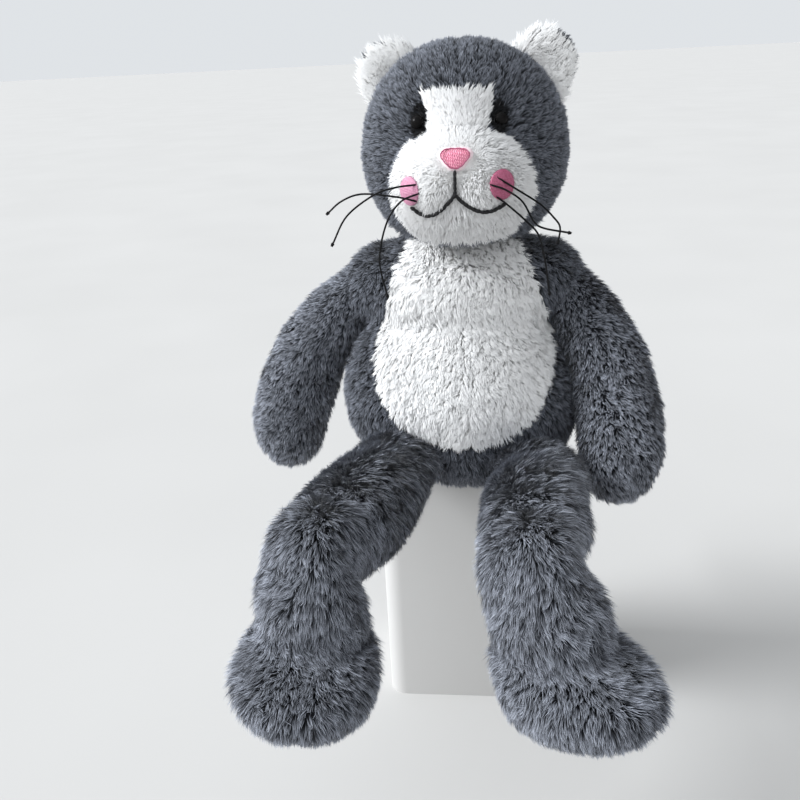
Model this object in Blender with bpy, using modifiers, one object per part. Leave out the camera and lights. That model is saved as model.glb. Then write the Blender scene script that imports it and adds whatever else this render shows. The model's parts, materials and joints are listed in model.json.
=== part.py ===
"""A long-legged plush cat, sitting on an edge with its legs hanging over it.

The origin is the middle of the flat gusset it sits on, +Z is up, and its face looks along -Y.
Left and right are the cat's own, so left is +X. Each soft form is a loft or a sphere: its outer
skin is cut into sewn cover panels, and the same form, smaller, is the filling inside them.
"""
import bmesh
import bpy
from math import cos, pi, radians, sin
from mathutils import Matrix, Vector

# driving dimensions, in metres
COVER = 0.0035            # backing cloth and pressed pile, as one thickness
GAP = 0.0003              # room between pieces that touch
SIT_WIDTH = 0.152         # across the lower body
ARM_LENGTH = 0.165        # shoulder to paw end
THIGH_LENGTH = 0.134      # hip to knee, the distance between those two joints below
SHIN_HEIGHT = 0.084       # knee to sole
HEAD_CENTRE = Vector((0, 0.018, 0.212))
HEAD_RADII = Vector((0.068, 0.058, 0.066))
MUZZLE_CENTRE = Vector((0, -0.030, 0.1975))
MUZZLE_RADII = Vector((0.046, 0.030, 0.034))
EAR_RADII = Vector((0.024, 0.0065, 0.031))
EYE_RADIUS = 0.0045
WHISKER_DIAMETER = 0.0012

# where each soft joint turns
NECK = Vector((0, 0.016, 0.146))
NECK_RADIUS = 0.018
NECK_CLEARANCE = 0.0195
SHOULDER = {"left": Vector((0.063, 0.018, 0.127)), "right": Vector((-0.063, 0.018, 0.127))}
HIP = {"left": Vector((0.042, -0.072, 0.026)), "right": Vector((-0.042, -0.072, 0.026))}
KNEE = {"left": Vector((0.044, -0.206, 0.027)), "right": Vector((-0.070, -0.203, 0.030))}
TAIL_ROOT = Vector((0, 0.052, 0.024))

# which way each limb lies at rest
ARM_AIM = {"left": Vector((0.044, -0.080, -0.128)), "right": Vector((-0.066, -0.006, -0.108))}
SHIN_AIM = {"left": Vector((0.10, -0.26, -0.96)), "right": Vector((-0.14, -0.28, -0.95))}
TOE_AIM = {"left": Vector((0.72, -0.69, -0.10)), "right": Vector((0.12, -0.99, 0.0))}
SIDE = {"left": 1, "right": -1}

SHOULDER_CLEARANCE = 0.0245
HIP_CLEARANCE = 0.0345
KNEE_CLEARANCE = 0.0335
TAIL_CLEARANCE = 0.0135
BIG = 0.6                 # wider than the whole cat, for cutting blocks

GREY = (0.075, 0.080, 0.095)
SILVER_GREY = (0.12, 0.13, 0.155)
WHITE = (0.86, 0.84, 0.81)
FILLING = (0.90, 0.90, 0.88)
PELLETS = (0.62, 0.60, 0.56)
BLACK = (0.012, 0.012, 0.014)
PINK = (0.80, 0.22, 0.38)
CLEAR = (0.75, 0.75, 0.74)
WHITE_PANELS = ("belly_patch",)


def make_collection(name):
    collection = bpy.data.collections.new(name)
    bpy.context.scene.collection.children.link(collection)
    return collection


def make_material(name, colour, roughness):
    material = bpy.data.materials.new(name)
    material.use_nodes = True
    shader = material.node_tree.nodes["Principled BSDF"]
    shader.inputs["Base Color"].default_value = (*colour, 1)
    shader.inputs["Roughness"].default_value = roughness
    return material


def add_object(name, mesh, material=None, parent=None):
    """A part in the cat's collection, or a cutter when it has no material."""
    body = bpy.data.objects.new(name, mesh)
    if material:
        body.data.materials.append(make_material(name, *material))
        PARTS.objects.link(body)
    else:
        body.hide_render = True
        body.display_type = "WIRE"
        CUTTERS.objects.link(body)
    body.parent = parent
    return body


def mesh_from(name, build):
    """A mesh filled by a function that is given an empty bmesh."""
    shape = bmesh.new()
    build(shape)
    bmesh.ops.recalc_face_normals(shape, faces=shape.faces)
    mesh = bpy.data.meshes.new(name)
    shape.to_mesh(mesh)
    shape.free()
    return mesh


def ellipsoid(name, centre, radii, grow=0.0, rings=10, sides=20):
    size = Matrix.Diagonal((*(r + grow for r in radii), 1))
    place = Matrix.Translation(centre) @ size

    def build(shape):
        bmesh.ops.create_uvsphere(shape, u_segments=sides, v_segments=rings, radius=1, matrix=place)
    return mesh_from(name, build)


def block(name, low, high):
    """A box between two corners."""
    low, high = Vector(low), Vector(high)
    size = Matrix.Diagonal((*(high - low), 1))
    place = Matrix.Translation((low + high) / 2) @ size

    def build(shape):
        bmesh.ops.create_cube(shape, size=1, matrix=place)
    return mesh_from(name, build)


def loft(name, stations, inset=0.0, sides=16):
    """A closed form through ellipses stacked along Z, from the top one down.

    A station is height, half width (X), half depth (Y), shift in X, shift in Y. An inset makes
    the same form that much smaller all over.
    """
    top, bottom = stations[0][0] - inset, stations[-1][0] + inset
    inner = [s for s in stations[1:-1] if bottom < s[0] < top]
    levels = [(top, *stations[0][1:]), *inner, (bottom, *stations[-1][1:])]

    def build(shape):
        loops = []
        for height, half_width, half_depth, shift_x, shift_y in levels:
            loops.append([
                shape.verts.new((
                    shift_x + (half_width - inset) * cos(2 * pi * i / sides),
                    shift_y + (half_depth - inset) * sin(2 * pi * i / sides),
                    height,
                ))
                for i in range(sides)
            ])
        for upper, lower in zip(loops, loops[1:]):
            for i in range(sides):
                j = (i + 1) % sides
                shape.faces.new((upper[i], upper[j], lower[j], lower[i]))
        shape.faces.new(loops[0])
        shape.faces.new(reversed(loops[-1]))
    return mesh_from(name, build)


def prism(name, outline, near, far):
    """An outline in X and Z, extruded along Y between near and far."""
    def build(shape):
        face = shape.faces.new([shape.verts.new((x, near, z)) for x, z in outline])
        swept = bmesh.ops.extrude_face_region(shape, geom=[face])
        moved = [v for v in swept["geom"] if isinstance(v, bmesh.types.BMVert)]
        bmesh.ops.translate(shape, verts=moved, vec=(0, far - near, 0))
    return mesh_from(name, build)


def cutter(mesh, parent=None):
    return add_object("cut_" + mesh.name, mesh, parent=parent)


def boolean(body, tool, operation):
    modifier = body.modifiers.new(operation.lower(), "BOOLEAN")
    modifier.operation = operation
    modifier.object = tool
    modifier.solver = "EXACT"


def cut(body, *tools):
    for tool in tools:
        boolean(body, tool, "DIFFERENCE")


def keep(body, *tools):
    for tool in tools:
        boolean(body, tool, "INTERSECT")


def room(name, centre, radius, parent=None):
    """A round space that another piece turns in."""
    return cutter(ellipsoid(name, centre, Vector((radius, radius, radius)), rings=7, sides=12), parent)


def half(name, axis, sign, at=0.0, parent=None):
    """A cutting block that holds everything beyond a plane, half a gap off it."""
    low, high = Vector((-BIG, -BIG, -BIG)), Vector((BIG, BIG, BIG))
    if sign > 0:
        low[axis] = at + GAP / 2
    else:
        high[axis] = at - GAP / 2
    return cutter(block(name, low, high), parent)


def joint_frame(name, place, aim=None, across=Vector((1, 0, 0))):
    """An empty on a joint. Its -Z runs along the limb and its X stays nearest to across."""
    frame = bpy.data.objects.new(name, None)
    frame.empty_display_size = 0.02
    PARTS.objects.link(frame)
    turn = Matrix.Identity(4)
    if aim:
        z = -aim.normalized()
        x = (across - z * across.dot(z)).normalized()
        turn = Matrix((x, z.cross(x), z)).transposed().to_4x4()
    frame.matrix_world = Matrix.Translation(place) @ turn
    return frame


def split_covers(name, stations, colour, parent, parts, carve=(), sides=16):
    """Cover panels cut from a lofted skin. parts maps a panel's name to the blocks it keeps.

    White panels are the ones whose names are in WHITE_PANELS.
    """
    void = cutter(loft(name + "_void", stations, COVER, sides), parent)
    for panel, blocks in parts.items():
        finish = WHITE if panel in WHITE_PANELS else colour
        body = add_object(panel, loft(panel, stations, 0.0, sides), (finish, 0.9), parent)
        cut(body, void)
        keep(body, *blocks)
        cut(body, *carve)


def make_torso():
    stations = [
        (0.139, 0.034, 0.028, 0, 0.016),
        (0.132, 0.041, 0.034, 0, 0.015),
        (0.112, 0.052, 0.044, 0, 0.009),
        (0.086, 0.063, 0.052, 0, 0.001),
        (0.056, 0.072, 0.058, 0, -0.008),
        (0.030, SIT_WIDTH / 2, 0.060, 0, -0.011),
        (0.012, 0.070, 0.053, 0, -0.011),
        (0.000, 0.055, 0.040, 0, -0.008),
    ]
    carve = [room("neck_room", NECK, NECK_CLEARANCE)]
    for side in SIDE:
        carve.append(room(f"shoulder_room_{side}", SHOULDER[side], SHOULDER_CLEARANCE))
        carve.append(room(f"hip_room_{side}", HIP[side], HIP_CLEARANCE))
    carve.append(room("tail_room", TAIL_ROOT, TAIL_CLEARANCE))

    seam_back = 0.004
    base = 0.0041
    belly_low, belly_high = 0.024, 0.158
    outline = []
    for i in range(18):
        turn = 2 * pi * (i + 0.5) / 18
        rise = (1 - cos(turn)) / 2
        width = 0.061 - 0.016 * max(0.0, rise - 0.4)
        outline.append((width * sin(turn), belly_low + (belly_high - belly_low) * rise))
    belly = cutter(prism("belly_block", outline, -0.2, seam_back - 0.02))
    belly_slot = cutter(prism("belly_slot", [
        (x + GAP * (1 if x > 0 else -1), z + (GAP if z > 0.08 else -GAP)) for x, z in outline
    ], -0.2, seam_back - 0.02))
    tongue_half, tongue_top = 0.015, 0.030
    tongue = cutter(block("tongue", (-tongue_half, -0.2, base / 2), (tongue_half, -0.03, tongue_top)))
    tongue_slot = cutter(block(
        "tongue_slot", (-tongue_half - GAP, -0.2, -0.01), (tongue_half + GAP, -0.03, tongue_top + GAP)))
    gusset = cutter(block("gusset_block", (-BIG, -BIG, -0.01), (BIG, BIG, base)))
    boolean(gusset, tongue, "UNION")
    above = half("above_gusset", 2, 1, base + GAP / 2)
    front, back = half("torso_front", 1, -1, seam_back), half("torso_back", 1, 1, seam_back)
    right_of, left_of = half("torso_right", 0, -1), half("torso_left", 0, 1)

    split_covers("torso", stations, GREY, None, {
        "torso_side_left": (above, front, left_of),
        "torso_side_right": (above, front, right_of),
        "torso_back_left": (above, back, left_of),
        "torso_back_right": (above, back, right_of),
        "belly_patch": (belly, above),
        "seat_gusset": (),
    }, carve, 18)
    for side in SIDE:
        cut(bpy.data.objects[f"torso_side_{side}"], belly_slot, tongue_slot)
    cut(bpy.data.objects["belly_patch"], tongue_slot)
    keep(bpy.data.objects["seat_gusset"], gusset)

    pellet_top = 0.0215
    for name, colour, sign in (("torso_stuffing", FILLING, 1), ("seat_pellet_bag", PELLETS, -1)):
        body = add_object(name, loft(name, stations, COVER + GAP, 18), (colour, 0.95))
        cut(body, *carve)
        keep(body, half(name + "_side", 2, sign, pellet_top))


def make_neck():
    radii = Vector((NECK_RADIUS, NECK_RADIUS, NECK_RADIUS))
    add_object("neck_stuffing", ellipsoid("neck_stuffing", NECK, radii, rings=8, sides=14), (FILLING, 0.95))


def head_point(x, z):
    """The front of the head at a place in X and Z, and the direction straight out there."""
    across = x / HEAD_RADII.x
    up = (z - HEAD_CENTRE.z) / HEAD_RADII.z
    y = HEAD_CENTRE.y - HEAD_RADII.y * (1 - across ** 2 - up ** 2) ** 0.5
    out = Vector((across / HEAD_RADII.x, (y - HEAD_CENTRE.y) / HEAD_RADII.y ** 2, up / HEAD_RADII.z))
    return Vector((x, y, z)), out.normalized()


def turned(name, profile, place, out, colour, roughness, steps=14):
    """A profile of (radius, distance out) turned about the outward direction at a place."""
    mesh = bpy.data.meshes.new(name)
    mesh.from_pydata([(r, 0, z) for r, z in profile], [(i, i + 1) for i in range(len(profile) - 1)], [])
    body = add_object(name, mesh, (colour, roughness))
    body.matrix_world = Matrix.Translation(place) @ out.to_track_quat("Z", "Y").to_matrix().to_4x4()
    screw = body.modifiers.new("turn", "SCREW")
    screw.steps = screw.render_steps = steps
    screw.use_merge_vertices = True
    screw.merge_threshold = 0.00001
    return body


def head_panel(name, colour, void, blocks, holes):
    """A cover panel cut from the head's skin."""
    body = add_object(name, ellipsoid(name, HEAD_CENTRE, HEAD_RADII), (colour, 0.9))
    cut(body, void)
    keep(body, *blocks)
    cut(body, *holes)


def drill(name, place, out, radius, low, high):
    """A round cutter along the outward direction at a place."""
    def build(shape):
        bmesh.ops.create_cone(shape, cap_ends=True, segments=10, radius1=radius, radius2=radius,
                              depth=high - low, matrix=Matrix.Translation((0, 0, (low + high) / 2)))
    tool = cutter(mesh_from(name, build))
    tool.matrix_world = Matrix.Translation(place) @ out.to_track_quat("Z", "Y").to_matrix().to_4x4()
    return tool


def make_head():
    void = cutter(ellipsoid("head_void", HEAD_CENTRE, HEAD_RADII, -COVER))
    neck_room = bpy.data.objects["cut_neck_room"]
    muzzle_room = cutter(ellipsoid("muzzle_room", MUZZLE_CENTRE, MUZZLE_RADII, GAP))
    muzzle_void = cutter(ellipsoid("muzzle_void", MUZZLE_CENTRE, MUZZLE_RADII, -COVER))
    ear_seam = HEAD_CENTRE.y + 0.004
    front, back = half("head_front", 1, -1, ear_seam), half("head_back", 1, 1, ear_seam)
    lies = {"left": half("head_left", 0, 1), "right": half("head_right", 0, -1)}

    foot, top = 0.019, 0.025
    right_edge = [(foot, 0.205), (foot, 0.238), (top, 0.256), (top - 0.006, 0.263)]
    blaze_outline = right_edge + [(-x, z) for x, z in reversed(right_edge)]
    blaze = cutter(prism("blaze_block", blaze_outline, -0.2, 0.0))
    blaze_slot = cutter(prism("blaze_slot", [
        (x + GAP * (1 if x > 0 else -1), z + (GAP if z > 0.26 else 0)) for x, z in blaze_outline
    ], -0.2, 0.0))

    stems, pockets = {}, {}
    washer_depth = COVER + 0.0026
    washer_thickness = 0.0014
    for side, sign in SIDE.items():
        place, out = head_point(sign * 0.0258, 0.2372)
        dome = [(EYE_RADIUS * sin(pi / 2 * i / 5), 0.0006 + 0.0036 * cos(pi / 2 * i / 5)) for i in range(6)]
        stem = [(0.0015, 0.0006), (0.0015, -0.0100), (0, -0.0100)]
        turned(f"eye_{side}", dome + stem, place, out, BLACK, 0.12)
        washer = [(0.0018, -washer_depth), (0.0052, -washer_depth),
                  (0.0052, -washer_depth - washer_thickness), (0.0018, -washer_depth - washer_thickness),
                  (0.0018, -washer_depth)]
        turned(f"eye_washer_{side}", washer, place, out, CLEAR, 0.4)
        stems[side] = drill(f"eye_stem_{side}", place, out, 0.0018, -0.012, 0.002)
        pockets[side] = drill(f"eye_pocket_{side}", place, out, 0.0058, -0.0115, 0.0)

    for side in SIDE:
        head_panel(f"head_back_{side}", GREY, void, (back, lies[side]), (neck_room,))
        holes = (neck_room, muzzle_room, blaze_slot, stems[side])
        head_panel(f"face_side_{side}", GREY, void, (front, lies[side]), holes)
    head_panel("forehead_blaze", WHITE, void, (blaze,), (muzzle_room,))
    muzzle = add_object("muzzle", ellipsoid("muzzle", MUZZLE_CENTRE, MUZZLE_RADII), (WHITE, 0.9))
    cut(muzzle, muzzle_void, void, neck_room)

    inset = -COVER - GAP
    core = ellipsoid("head_stuffing", HEAD_CENTRE, HEAD_RADII, inset)
    filling = add_object("head_stuffing", core, (FILLING, 0.95))
    boolean(filling, cutter(ellipsoid("muzzle_filling", MUZZLE_CENTRE, MUZZLE_RADII, inset)), "UNION")
    cut(filling, neck_room, pockets["left"], pockets["right"])


def make_ears():
    """Each ear is a flat lens of two panels, white in front and grey behind, on the head's seam."""
    head_room = cutter(ellipsoid("head_room", HEAD_CENTRE, HEAD_RADII, GAP))
    leans = {"left": radians(33), "right": radians(-38)}
    places = {"left": Vector((0.052, 0.022, 0.264)), "right": Vector((-0.050, 0.022, 0.262))}
    for side in SIDE:
        frame = joint_frame(f"ear_frame_{side}", places[side])
        frame.matrix_world = Matrix.Translation(places[side]) @ Matrix.Rotation(leans[side], 4, "Y")
        for face, sign, colour in (("front", -1, WHITE), ("back", 1, GREY)):
            name = f"ear_{face}_{side}"
            body = add_object(name, ellipsoid(name, Vector((0, 0, 0)), EAR_RADII, rings=8, sides=14),
                              (colour, 0.9), frame)
            keep(body, half(f"{name}_side", 1, sign, 0.0, frame))
            cut(body, head_room)


def embroidery(name, outline, colour):
    """A thin patch that follows the muzzle, of the given outline in X and Z."""
    body = add_object(name, ellipsoid(name, MUZZLE_CENTRE, MUZZLE_RADII, 0.0016), (colour, 0.8))
    cut(body, bpy.data.objects["cut_muzzle_room"])
    keep(body, cutter(prism(name + "_block", outline, -0.2, MUZZLE_CENTRE.y - 0.004)))


def make_face():
    nose_height = 0.2175
    nose = []
    for i in range(15):
        turn = 2 * pi * i / 15
        reach = 1 + 0.16 * cos(3 * (turn + pi / 2))
        nose.append((0.0085 * reach * cos(turn), nose_height + 0.0066 * reach * sin(turn)))
    embroidery("nose_embroidery", nose, PINK)
    for side, sign in SIDE.items():
        oval = [(sign * 0.0300 + 0.0062 * cos(2 * pi * i / 14), 0.1985 + 0.0092 * sin(2 * pi * i / 14))
                for i in range(14)]
        embroidery(f"cheek_spot_{side}", oval, PINK)
    stitch = 0.0009
    mouth_half = 0.0220
    centre_line = []
    for i in range(13):
        turn = pi * i / 12
        x = -mouth_half * cos(turn)
        centre_line.append((x, 0.1955 - 0.0085 * abs(sin(2 * turn)) ** 0.8 - 0.0045 * (abs(x) / mouth_half)))
    centre_line[6] = (0.0, 0.1960)
    upper = [(x, z + stitch) for x, z in centre_line]
    lower = [(x, z - stitch) for x, z in centre_line]
    fork = [(-stitch, 0.1965 + stitch), (-stitch, 0.2085), (stitch, 0.2085), (stitch, 0.1965 + stitch)]
    outline = upper[:6] + fork + upper[7:] + lower[::-1]
    embroidery("mouth_stitching", outline, BLACK)


# points along each whisker, in millimetres
WHISKER_ROUTES = {
    "whisker_right_upper": [
        (-26, -58, 203), (-39, -61, 202), (-52, -62, 198), (-69, -63, 186), (-79, -64, 169)],
    "whisker_right_middle": [
        (-26, -58, 193), (-39, -57, 196), (-60, -55, 198), (-73, -55, 194), (-82, -56, 187)],
    "whisker_right_lower": [
        (-24, -59, 198), (-36, -60, 193), (-45, -62, 180), (-50, -64, 158), (-46, -66, 136)],
    "whisker_left_upper": [
        (23, -59, 206), (34, -59, 199), (49, -58, 189), (57, -58, 181), (61, -59, 175), (60, -60, 166)],
    "whisker_left_middle": [
        (19, -61, 202), (28, -63, 199), (38, -64, 192), (45, -65, 180), (51, -66, 176), (66, -67, 173)],
    "whisker_left_lower": [
        (21, -60, 196), (30, -60, 189), (41, -60, 179), (48, -61, 171), (52, -62, 156), (55, -64, 135)],
}


def smooth_route(points, count):
    """Points at even steps of a cardinal curve through a route given in millimetres."""
    knots = [Vector(p) / 1000 for p in points]
    knots = [2 * knots[0] - knots[1], *knots, 2 * knots[-1] - knots[-2]]
    route = []
    for i in range(count):
        along = i * (len(points) - 1) / (count - 1)
        k = min(int(along), len(points) - 2)
        t = along - k
        a, b, c, d = knots[k:k + 4]
        route.append(0.5 * (2 * b + (c - a) * t + (2 * a - 5 * b + 4 * c - d) * t ** 2
                            + (3 * b - a - 3 * c + d) * t ** 3))
    return route


def make_whiskers():
    for name, points in WHISKER_ROUTES.items():
        route = smooth_route(points, 11)
        curve = bpy.data.curves.new(name, "CURVE")
        curve.dimensions = "3D"
        curve.bevel_depth = WHISKER_DIAMETER / 2
        curve.bevel_resolution = 2
        curve.use_fill_caps = True
        spline = curve.splines.new("POLY")
        spline.points.add(len(route) - 1)
        for point, place in zip(spline.points, route):
            point.co = (*place, 1)
        add_object(name, curve, (BLACK, 0.5))


def make_arms():
    for side, sign in SIDE.items():
        frame = joint_frame(f"shoulder_{side}", SHOULDER[side], ARM_AIM[side])
        end = -ARM_LENGTH
        stations = [
            (0.0190, 0.006, 0.006, 0, 0),
            (0.0130, 0.0145, 0.014, 0, 0),
            (0.0000, 0.0195, 0.019, 0, 0),
            (-0.0320, 0.0230, 0.0225, sign * 0.012, 0),
            (-0.0700, 0.0260, 0.0250, sign * 0.017, 0),
            (-0.1100, 0.0285, 0.0270, sign * 0.012, 0),
            (end + 0.0230, 0.0280, 0.0260, sign * 0.004, 0),
            (end + 0.0070, 0.0190, 0.0180, 0, 0),
            (end, 0.0080, 0.0075, 0, 0),
        ]
        outside = half(f"arm_outside_{side}", 0, sign, sign * 0.008, frame)
        inside = half(f"arm_inside_{side}", 0, -sign, sign * 0.008, frame)
        split_covers(f"arm_{side}", stations, GREY, frame, {
            f"arm_outer_{side}": (outside,),
            f"arm_inner_{side}": (inside,),
        }, sides=12)
        name = f"arm_stuffing_{side}"
        add_object(name, loft(name, stations, COVER + GAP, 12), (FILLING, 0.95), frame)


def make_legs():
    for side, sign in SIDE.items():
        hip = joint_frame(f"hip_{side}", HIP[side], KNEE[side] - HIP[side])
        knee_end = -THIGH_LENGTH
        thigh = [
            (0.0260, 0.010, 0.010, 0, 0),
            (0.0190, 0.021, 0.021, 0, 0),
            (0.0060, 0.0275, 0.0275, 0, 0),
            (-0.0400, 0.0290, 0.0290, 0, 0),
            (-0.0900, 0.0290, 0.0290, 0, 0),
            (knee_end, 0.0280, 0.0280, 0, 0),
            (knee_end - 0.0160, 0.0220, 0.0220, 0, 0),
            (knee_end - 0.0240, 0.0110, 0.0110, 0, 0),
        ]
        split_covers(f"thigh_{side}", thigh, SILVER_GREY, hip, {
            f"thigh_outer_{side}": (half(f"thigh_outside_{side}", 0, sign, 0.0, hip),),
            f"thigh_inner_{side}": (half(f"thigh_inside_{side}", 0, -sign, 0.0, hip),),
        }, sides=12)
        name = f"thigh_stuffing_{side}"
        add_object(name, loft(name, thigh, COVER + GAP, 12), (FILLING, 0.95), hip)

        across = -TOE_AIM[side].cross(Vector((0, 0, 1)))
        knee = joint_frame(f"knee_{side}", KNEE[side], SHIN_AIM[side], across)
        sole = -SHIN_HEIGHT
        sole_thickness = 0.005
        shin = [
            (-0.0190, 0.0130, 0.0130, 0, 0),
            (-0.0280, 0.0230, 0.0230, 0, 0),
            (-0.0370, 0.0290, 0.0290, 0, -0.002),
            (-0.0460, 0.0340, 0.0370, 0, -0.008),
            (-0.0560, 0.0370, 0.0430, 0, -0.014),
            (-0.0660, 0.0380, 0.0460, 0, -0.017),
            (sole + 0.0100, 0.0360, 0.0440, 0, -0.017),
            (sole + 0.0030, 0.0310, 0.0390, 0, -0.016),
            (sole, 0.0270, 0.0350, 0, -0.016),
        ]
        knee_room = room(f"knee_room_{side}", Vector((0, 0, 0)), KNEE_CLEARANCE, knee)
        above = half(f"above_sole_{side}", 2, 1, sole + sole_thickness, knee)
        split_covers(f"shin_{side}", shin, SILVER_GREY, knee, {
            f"shin_outer_{side}": (above, half(f"shin_outside_{side}", 0, sign, 0.0, knee)),
            f"shin_inner_{side}": (above, half(f"shin_inside_{side}", 0, -sign, 0.0, knee)),
            f"foot_sole_{side}": (half(f"below_sole_{side}", 2, -1, sole + sole_thickness, knee),),
        }, (knee_room,), 14)
        for name, colour, above_bag in ((f"shin_stuffing_{side}", FILLING, 1),
                                        (f"foot_pellet_bag_{side}", PELLETS, -1)):
            body = add_object(name, loft(name, shin, COVER + GAP, 14), (colour, 0.95), knee)
            keep(body, half(name + "_side", 2, above_bag, sole + 0.018, knee))
            cut(body, knee_room)


def make_tail():
    frame = joint_frame("tail_root", TAIL_ROOT, Vector((0, 1, 0.04)))
    stations = [
        (0.0100, 0.005, 0.005, 0, 0),
        (0.0050, 0.0095, 0.0095, 0, 0),
        (-0.0100, 0.0110, 0.0110, 0, 0),
        (-0.0600, 0.0120, 0.0120, 0, 0),
        (-0.0950, 0.0120, 0.0120, 0, 0),
        (-0.1080, 0.0085, 0.0085, 0, 0),
        (-0.1130, 0.0040, 0.0040, 0, 0),
    ]
    open_root = half("tail_open_root", 2, -1, 0.006, frame)
    split_covers("tail", stations, GREY, frame, {"tail_cover": (open_root,)}, sides=12)
    add_object("tail_stuffing", loft("tail_stuffing", stations, COVER + GAP, 12), (FILLING, 0.95), frame)


for old in list(bpy.data.objects):
    bpy.data.objects.remove(old)
PARTS = make_collection("plush_cat")
CUTTERS = make_collection("cutters")
make_torso()
make_neck()
make_head()
make_ears()
make_face()
make_whiskers()
make_arms()
make_legs()
make_tail()
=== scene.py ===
import json
from itertools import product
from math import cos, pi, radians, sin

import bmesh
import bpy
import numpy as np
from mathutils import Matrix, Vector
from mathutils.bvhtree import BVHTree


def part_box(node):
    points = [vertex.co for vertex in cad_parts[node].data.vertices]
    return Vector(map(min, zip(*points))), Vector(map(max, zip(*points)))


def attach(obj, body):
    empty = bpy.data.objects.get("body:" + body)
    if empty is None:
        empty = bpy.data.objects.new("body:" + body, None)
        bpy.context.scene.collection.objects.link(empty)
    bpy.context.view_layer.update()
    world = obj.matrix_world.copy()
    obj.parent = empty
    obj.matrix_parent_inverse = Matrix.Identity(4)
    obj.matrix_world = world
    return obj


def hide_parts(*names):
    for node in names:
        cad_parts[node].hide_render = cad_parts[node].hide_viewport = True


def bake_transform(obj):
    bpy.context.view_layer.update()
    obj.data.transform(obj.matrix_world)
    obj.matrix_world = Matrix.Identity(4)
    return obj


# The looks of the plush cat. Each stuffed body gets one sewn skin, grown from its CAD solids and
# swollen by cloth pressure, and the pile of the fabric is real tufts that grow on that skin.
# Lengths are metres, and left and right are the cat's own.

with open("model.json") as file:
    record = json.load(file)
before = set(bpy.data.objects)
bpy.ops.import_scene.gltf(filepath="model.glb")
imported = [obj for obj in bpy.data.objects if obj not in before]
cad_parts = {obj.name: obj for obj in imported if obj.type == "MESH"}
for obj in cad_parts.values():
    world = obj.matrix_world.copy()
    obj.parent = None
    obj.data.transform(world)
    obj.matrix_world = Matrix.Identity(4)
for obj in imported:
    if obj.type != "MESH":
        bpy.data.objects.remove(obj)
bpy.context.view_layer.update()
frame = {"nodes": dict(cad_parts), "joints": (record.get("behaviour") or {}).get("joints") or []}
JOINT = {j["name"]: Vector(j["pos_m"]) for j in frame["joints"]}
SIDES = {"left": 1, "right": -1}
UV_NAME = "OFBake"
SWELL_FRAMES = 20


# ---------------------------------------------------------------- camera

def make_camera():
    """Looks slightly down at the cat from in front, with a small tilt of the hand."""
    stand = Vector((0.0211, -0.5898, 0.2772))
    heading, dip, tilt = radians(-6.8), radians(21.9), radians(-2.9)
    forward = Vector((sin(heading) * cos(dip), cos(heading) * cos(dip), -sin(dip)))
    right = Vector((cos(heading), -sin(heading), 0))
    up = right.cross(forward)
    right, up = cos(tilt) * right + sin(tilt) * up, cos(tilt) * up - sin(tilt) * right
    data = bpy.data.cameras.new("camera")
    data.lens = 38.7
    data.sensor_width = 36
    data.clip_start = 0.01
    camera = bpy.data.objects.new("camera", data)
    bpy.context.scene.collection.objects.link(camera)
    turned = Matrix((right, up, -forward)).transposed().to_4x4()
    camera.matrix_world = Matrix.Translation(stand) @ turned
    bpy.context.scene.camera = camera


# ---------------------------------------------------------------- materials

class Nodes:
    """A Principled material and short ways to add nodes to it."""

    def __init__(self, name, roughness, **constants):
        self.material = bpy.data.materials.new(name)
        self.material.use_nodes = True
        self.tree = self.material.node_tree
        self.shader = self.tree.nodes["Principled BSDF"]
        self.shader.inputs["Roughness"].default_value = roughness
        for socket, value in constants.items():
            self.shader.inputs[socket.replace("_", " ")].default_value = value

    def add(self, kind, **settings):
        node = self.tree.nodes.new("ShaderNode" + kind)
        for key, value in settings.items():
            setattr(node, key, value)
        return node

    def link(self, start, end):
        self.tree.links.new(start, end)

    def ramp(self, factor, stops):
        """A colour ramp through (position, colour) stops."""
        node = self.add("ValToRGB")
        elements = node.color_ramp.elements
        while len(elements) < len(stops):
            elements.new(0.5)
        for element, (position, colour) in zip(elements, stops):
            element.position = position
            element.color = (*colour, 1)
        self.link(factor, node.inputs["Fac"])
        return node.outputs["Color"]

    def noise(self, scale, detail=2.0):
        place = self.add("TexCoord")
        node = self.add("TexNoise")
        node.inputs["Scale"].default_value = scale
        node.inputs["Detail"].default_value = detail
        self.link(place.outputs["Object"], node.inputs["Vector"])
        return node.outputs["Fac"]

    def multiply(self, first, second):
        node = self.add("Mix", data_type="RGBA", blend_type="MULTIPLY")
        node.inputs["Factor"].default_value = 1.0
        self.link(first, node.inputs[6])
        self.link(second, node.inputs[7])
        return node.outputs[2]

    def bump(self, height, strength, distance):
        node = self.add("Bump")
        node.inputs["Strength"].default_value = strength
        node.inputs["Distance"].default_value = distance
        self.link(height, node.inputs["Height"])
        self.link(node.outputs["Normal"], self.shader.inputs["Normal"])

    def colour(self, value, plain):
        """Links the base colour and keeps a plain one for viewers that read no nodes."""
        self.shader.inputs["Base Color"].default_value = (*plain, 1)
        self.link(value, self.shader.inputs["Base Color"])
        self.material.diffuse_color = (*plain, 1)


def tuft_material(name, root, middle, tip, spread):
    """Pile: a colour from root to tip, times a tone that differs from tuft to tuft. The darkening
    towards the root is partly the fabric's own light tips and partly painted shade deep in the pile.
    """
    made = Nodes(name, 0.85, Specular_IOR_Level=0.25, Sheen_Weight=0.25, Sheen_Roughness=0.45)
    place = made.add("UVMap", uv_map=UV_NAME)
    split = made.add("SeparateXYZ")
    made.link(place.outputs["UV"], split.inputs["Vector"])
    along = made.ramp(split.outputs["Y"], [(0.0, root), (0.5, middle), (1.0, tip)])
    low, high = (1 - spread,) * 3, (1.0,) * 3
    tone = made.ramp(split.outputs["X"], [(0.0, low), (1.0, high)])
    made.colour(made.multiply(along, tone), middle)
    return made.material


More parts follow.
